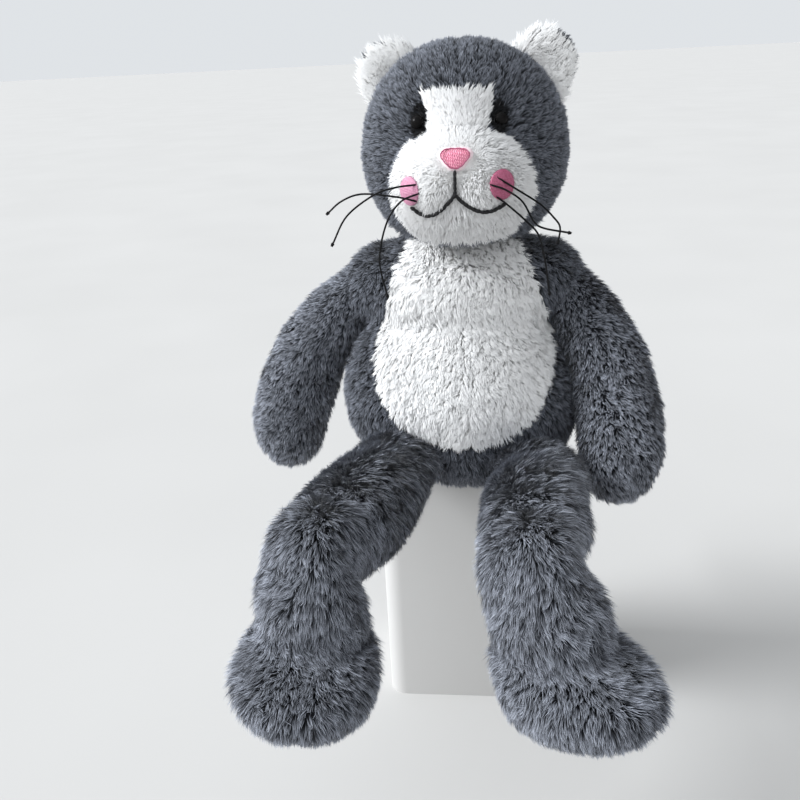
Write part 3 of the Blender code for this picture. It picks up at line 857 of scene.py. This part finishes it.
def make_head():
    panels = ["head_back_left", "head_back_right", "face_side_left", "face_side_right",
              "forehead_blaze", "muzzle"]
    neck, nose = JOINT["neck_turn"], middle_of("nose_embroidery")
    mouth_low, mouth_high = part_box("mouth_stitching")
    muzzle_low, muzzle_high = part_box("muzzle")
    blaze_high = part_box("forehead_blaze")[1]

    def shape(points):
        """Two soft lobes beside the mouth, a chin under it, and dips for the eyes."""
        x, y, z = points.T
        front = ease((muzzle_high.y - y) / 0.02)
        lobes = sum(np.exp(-((x - sign * 0.019) / 0.014) ** 2 - ((z - 0.199) / 0.013) ** 2)
                    for sign in (-1, 1))
        chin = np.exp(-(x / 0.024) ** 2 - ((z - 0.176) / 0.010) ** 2)
        cleft = np.exp(-(x / 0.004) ** 2) * ease((mouth_high.z - z) / 0.01)
        cleft *= ease((z - mouth_low.z) / 0.006)
        centre = np.array([0, 0.02, 0.20])
        out = unit(points - centre)
        moved = points + out * (front * (0.0040 * lobes + 0.002 * chin - 0.0022 * cleft))[:, None]
        moved[:, 2] += 0.0065 * ease((z - centre[2]) / 0.06)
        moved[:, 0] += 0.0030 * ease(x / 0.06)
        for side in SIDES:
            low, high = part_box(f"eye_{side}")
            gap = np.linalg.norm(points - np.array(low + high) / 2, axis=1)
            dip = np.exp(-(gap / 0.011) ** 2)
            moved -= 0.0025 * dip[:, None] * out
        return moved

    def pale_rule(centres, names):
        """The muzzle and the blaze, without the ends that the grey pile covers."""
        x, y, z = centres.T
        width = 0.0175 + 0.0050 * ease((z - 0.222) / 0.03)
        blaze = (np.abs(x + 0.0012) < width) & (z < blaze_high.z - 0.008)
        blaze &= on_panels("forehead_blaze")(centres, names)
        depth = 0.0230 + 0.0050 * ((z - 0.2) / 0.03) ** 2
        muzzle = (y < muzzle_low.y + depth) & (z > muzzle_low.z + 0.005)
        muzzle &= on_panels("muzzle")(centres, names)
        return muzzle | blaze
    throat = ball(neck + Vector((0, 0, 0.006)), 0.022)
    skin, white, near = make_skin("head_skin", panels, ["head_stuffing"], [throat], voxel=0.0032,
                                  soften=3, inset=0.0012, cap=0.0015, white=pale_rule, seam=0.0006,
                                  shape=shape)
    white = shrunk(skin.data, white)
    stuffed(skin, "grey_plush", *panels, "head_stuffing")
    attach(skin, "head")
    face = Face(skin)
    mouth = make_mouth(face)
    make_nose(face)
    make_cheeks(face)
    make_eyes()

    def eye_gap(places):
        """How far out each place is from the nearer eye, as a share of the patch of painted shade round
        the eye.

        The patch is upright, and nearer to the middle of the face than the eye.
        """
        reach = np.array([0.0055, 0.012, 0.0105])
        gaps = []
        for side, sign in SIDES.items():
            away = places - np.array(middle_of(f"eye_{side}")) + np.array([sign * 0.002, 0, 0])
            gaps.append(np.linalg.norm(away / reach, axis=1))
        return np.minimum(*gaps)

    def flow(root, out):
        return root - np.array(nose)

    def trim(root):
        """Shaved under the embroidery, short round it and the eyes, and long on the chin."""
        share = 0.35 + 0.65 * ease((eye_gap(root) - 0.8) / 0.9)
        share *= far_from(root, [nose], 0.007, 0.030, 0.42)
        share *= far_from(root, mouth, 0.001, 0.006, 0.25)
        front = root[:, 1] < 0
        share *= 1 + 0.4 * ease((mouth_low.z - root[:, 2]) / 0.012) * front
        patches = (patch_size("nose_embroidery"), cheek_size("left"), cheek_size("right"))
        for middle, half_width, half_height in patches:
            gap = np.hypot((root[:, 0] - middle.x) / half_width,
                           (root[:, 2] - middle.z) / half_height)
            share *= np.where(front, 0.45 + 0.55 * ease(gap - 1), 1)
            share[(gap < 0.95) & front] = 0
        return share
    # dark marks the faces round each eye, which get near-black pile as painted shade
    dark = (eye_gap(centres_of(skin.data)) < 1) & ~white
    grey = grow("head_pile", skin, ~white & ~dark, near, GREY_TUFTS, 0.0066, flow, 21, clump=0.0028,
                trim=trim, lean=0.7, gather=0.4)
    pale = grow("face_pile", skin, white, near, WHITE_TUFTS, 0.0072, flow, 22, density=2.9e6,
                width=0.0007, clump=0.0030, trim=trim, lean=0.75, gather=0.25, calm=0.85, twist=0.1)
    socket = grow("eye_pile", skin, dark, near, EYE_SHADE_TUFTS, 0.0056, flow, 23, clump=0.0022, lean=0.4)
    finish_pile(socket, "grey_plush", "head")
    finish_pile(grey, "grey_plush", "head")
    finish_pile(pale, "white_plush", "head")


# For each ear: how far it is moved, the way in x and z to the part of its rim where the grey back
# shows, how much longer its tufts get towards the rim, and how much shorter they are in that part.
EARS = {
    "left": ((-0.0020, 0, -0.004), (1.0, 0.1), 0.50, 0.38),
    "right": ((0.0085, 0, -0.004), (-0.5, 0.85), 0.40, 0.05),
}


def make_ears():
    base = np.array(middle_of("head_stuffing")) + np.array([0, 0.01, 0])
    for side, (moved, rim_way, longer, shorter) in EARS.items():
        panels = [f"ear_front_{side}", f"ear_back_{side}"]
        middle = np.array(middle_of(*panels))
        nudge = np.array(moved)

        def grey_rim(places):
            """1 in the part of the rim where the grey back shows, and 0 elsewhere."""
            away = (places - middle - nudge)[:, [0, 2]]
            gap = np.linalg.norm(away, axis=1)
            return ease((gap - 0.0205) / 0.003) * ease((away @ rim_way - 0.009) / 0.004)

        def white_rule(centres, names):
            """The front panel without that part of the rim."""
            return on_panels(panels[0])(centres, names) & (grey_rim(centres) < 0.5)

        def cup(points):
            """Hollows the front of the ear, so that it opens forwards, and seats it in the head."""
            gap = np.linalg.norm((points - middle)[:, [0, 2]], axis=1)
            front = ease((middle[1] + 0.002 - points[:, 1]) / 0.004)
            hollow = (front * np.exp(-(gap / 0.013) ** 2))[:, None]
            return points + nudge + np.array([0, 0.0036, 0]) * hollow
        skin, white, near = make_skin(f"ear_{side}_skin", panels, [], voxel=0.0022, soften=2,
                                      inset=0.0016, cap=0.0006, white=white_rule, seam=0.0, shape=cup)
        stuffed(skin, "grey_plush", *panels)
        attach(skin, "head")

        def flow(root, out):
            """Away from the head."""
            return root - base

        def trim(root):
            """Longer towards the rim, but short where the grey back shows."""
            away = (root - middle - nudge)[:, [0, 2]]
            share = 0.85 + longer * ease((np.linalg.norm(away, axis=1) - 0.009) / 0.009)
            return share * (1 - shorter * ease((away @ rim_way - 0.004) / 0.012))
        pale = grow(f"ear_{side}_front_pile", skin, white, near, BRIGHT_TUFTS, 0.0080, flow, 31,
                    density=3.0e6, width=0.0008, clump=0.003, lean=0.9, gather=0.25, calm=0.85,
                    twist=0.1, trim=trim)
        grey = grow(f"ear_{side}_back_pile", skin, ~white, near, GREY_TUFTS, 0.0050, flow, 32,
                    clump=0.003)
        finish_pile(pale, "white_plush", "head")
        finish_pile(grey, "grey_plush", "head")


def constant_flow(way):
    """Pile that is brushed one way all over."""
    def flow(root, out):
        return np.tile(np.array(way), (len(root), 1))
    return flow


def make_arms():
    for i, side in enumerate(SIDES):
        panels = [f"arm_outer_{side}", f"arm_inner_{side}"]
        hidden = f"arm_stuffing_{side}"
        skin, white, near = make_skin(f"arm_{side}_skin", panels, [hidden], inset=0.002)
        stuffed(skin, "grey_plush", *panels, hidden)
        shoulder = JOINT[f"shoulder_{side}_swing"]
        way = (middle_of(*panels) - shoulder).normalized()
        bend = ("torso", f"arm_{side}", shoulder - 0.012 * way, shoulder + 0.035 * way)
        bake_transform(skin)
        pile = grow(f"arm_{side}_pile", skin, ~white, near, SILVER_TUFTS, 0.0092, constant_flow(way),
                    41 + i, density=2.0e6, clump=0.003, lean=0.65, gather=0.3)
        finish_pile(pile, "grey_plush", *bend)


def make_legs():
    """Each leg is sewn as one skin, and then cut across the thigh into two pieces."""
    for i, (side, sign) in enumerate(SIDES.items()):
        hip, knee = JOINT[f"hip_{side}_swing"], JOINT[f"knee_{side}_bend"]
        way = (knee - hip).normalized()
        down = (middle_of(f"foot_sole_{side}") - knee).normalized()
        thigh = [f"thigh_outer_{side}", f"thigh_inner_{side}"]
        shin = [f"shin_outer_{side}", f"shin_inner_{side}", f"foot_sole_{side}"]
        filling = [f"thigh_stuffing_{side}", f"shin_stuffing_{side}", f"foot_pellet_bag_{side}"]
        fillers = [ball(knee, 0.0310), ball(knee + 0.020 * down, 0.0325),
                   ball(knee - 0.03 * way, 0.0305)]
        drop, out, carve = (0.019, 0.008, 0.013) if side == "left" else (0.012, 0.004, 0.016)

        def sink(points):
            """Flattens the thigh at the hip, takes in the ankle, and lifts the toes a little."""
            x, y, z = points.T
            back = ease((y - hip.y + 0.080) / 0.075)
            top = ease((z - hip.z + 0.020) / 0.045)
            from_knee = (points - np.array(knee)) @ np.array((way + down).normalized())
            ankle = np.exp(-(from_knee / 0.020) ** 2)
            moved = points.copy()
            moved[:, 0] += sign * out * back - carve * ankle * ease((x - knee.x) / 0.03)
            moved[:, 2] += 0.006 * ease((knee.z - 0.03 - z) / 0.02) - drop * back * top
            return moved

        def trim(root):
            """Shorter at the foot."""
            return 1 - 0.35 * ease((knee.z - 0.040 - root[:, 2]) / 0.015)
        leg, white, near = make_skin(f"leg_{side}_skin", thigh + shin, filling, fillers, inset=0.0025,
                                     seam=0.0006, shape=sink)
        cut = hip + 0.55 * (knee - hip)
        nap = np.array([0.55, 0, -0.45])

        def flow(root, out):
            """Along the thigh with a slant across it, then down the shin and the foot."""
            share = ease(((root - np.array(knee)) @ np.array(way) + 0.055) / 0.06)[:, None]
            lower = np.array(down) + np.array([0, 0, -0.5])
            return (1 - share) * (np.array(way) + nap) + share * lower
        upper = (centres_of(leg.data) - np.array(cut)) @ np.array(way) < 0
        at_hip = ("torso", f"thigh_{side}", hip - 0.02 * way, hip + 0.05 * way)
        at_knee = (f"thigh_{side}", f"shin_{side}", knee - 0.014 * down, knee + 0.034 * down)
        for part, chosen, nodes, lean, bend in (
                ("thigh", upper, [*thigh, filling[0]], 0.85, at_hip),
                ("shin", ~upper, [*shin, *filling[1:]], 0.8, at_knee)):
            pile = grow(f"{part}_{side}_pile", leg, chosen, near, SILVER_TUFTS, 0.0108, flow, 51 + i,
                        clump=0.0030, density=2.6e6, width=0.00046, gather=0.26, lean=lean, calm=0.4,
                        trim=trim)
            skin = part_of_skin(f"{part}_{side}_skin", leg, chosen)
            stuffed(skin, "leg_plush", *nodes)
            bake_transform(skin)
            finish_pile(pile, "leg_plush", *bend)
        bpy.data.objects.remove(leg)


def make_tail():
    root_at = JOINT["tail_swing"]
    skin, white, near = make_skin("tail_skin", ["tail_cover"], ["tail_stuffing"], inset=0.0035,
                                  cap=0.002)
    stuffed(skin, "grey_plush", "tail_cover", "tail_stuffing")
    way = (middle_of("tail_cover") - root_at).normalized()
    bend = ("torso", "tail", root_at - 0.004 * way, root_at + 0.03 * way)
    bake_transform(skin)
    pile = grow("tail_pile", skin, ~white, near, GREY_TUFTS, 0.0090, constant_flow(way), 71,
                lean=0.65, gather=0.4)
    finish_pile(pile, "grey_plush", *bend)


# ---------------------------------------------------------------- stage

def make_stage():
    """A pale floor, and a plain block for the cat to sit on, so that its legs hang freely."""
    made = mottled("floor", 0.95, 3, (0.56, 0.552, 0.54), (0.58, 0.572, 0.56), (0.57, 0.562, 0.55),
                   Specular_IOR_Level=0.1)
    legs_reach = 0.235
    ground = JOINT["hip_left_swing"].z - legs_reach
    shape = bmesh.new()
    bmesh.ops.create_grid(shape, x_segments=1, y_segments=1, size=60,
                          matrix=Matrix.Translation((0, 0, ground)))
    low, high = Vector((-0.066, -0.030, ground - 0.02)), Vector((0.066, 0.066, 0.001))
    place = Matrix.Translation((low + high) / 2) @ Matrix.Diagonal((*(high - low), 1))
    block = bmesh.ops.create_cube(shape, size=1, matrix=place)["verts"]
    edges = {e for v in block for e in v.link_edges}
    bmesh.ops.bevel(shape, geom=list(edges), offset=0.014, segments=6, profile=0.5, affect="EDGES")
    add_object("floor", mesh_from(shape, "floor"), made.material)


def make_window():
    """Soft light from the cat's right."""
    data = bpy.data.lights.new("window", "SUN")
    data.energy = 3.6
    data.angle = radians(24)
    data.color = (0.95, 0.975, 1.0)
    lamp = bpy.data.objects.new("window", data)
    bpy.context.scene.collection.objects.link(lamp)
    lamp.rotation_euler = Vector((1.0, 0.18, -0.68)).to_track_quat("-Z", "Y").to_euler()


def make_studio():
    """Light from all round: brightest high on the cat's right, and even along the horizon."""
    world = bpy.data.worlds.new("studio")
    world.use_nodes = True
    tree = world.node_tree
    background = tree.nodes["Background"]
    background.inputs["Color"].default_value = (0.93, 0.965, 1.0, 1)
    place = tree.nodes.new("ShaderNodeTexCoord")
    facing = tree.nodes.new("ShaderNodeVectorMath")
    facing.operation = "DOT_PRODUCT"
    facing.inputs[1].default_value = Vector((-0.85, -0.32, 0.42)).normalized()
    lobe = tree.nodes.new("ShaderNodeMapRange")
    lobe.interpolation_type = "SMOOTHSTEP"
    lobe.inputs["From Min"].default_value = -0.6
    lobe.inputs["To Min"].default_value = 0.30
    lobe.inputs["To Max"].default_value = 1.25
    tree.links.new(place.outputs["Generated"], facing.inputs[0])
    tree.links.new(facing.outputs["Value"], lobe.inputs["Value"])
    height = tree.nodes.new("ShaderNodeSeparateXYZ")
    band = tree.nodes.new("ShaderNodeMapRange")
    band.interpolation_type = "SMOOTHSTEP"
    band.inputs["From Min"].default_value = 0.05
    band.inputs["From Max"].default_value = 0.45
    band.inputs["To Min"].default_value = 0.80
    tree.links.new(place.outputs["Generated"], height.inputs["Vector"])
    tree.links.new(height.outputs["Z"], band.inputs["Value"])
    tree.links.new(lobe.outputs["Result"], band.inputs["To Max"])
    tree.links.new(band.outputs["Result"], background.inputs["Strength"])
    bpy.context.scene.world = world
    bpy.context.scene.view_settings.view_transform = "Standard"


make_camera()
make_whiskers()
make_torso()
make_head()
make_ears()
make_arms()
make_legs()
make_tail()
make_stage()
make_studio()
make_window()
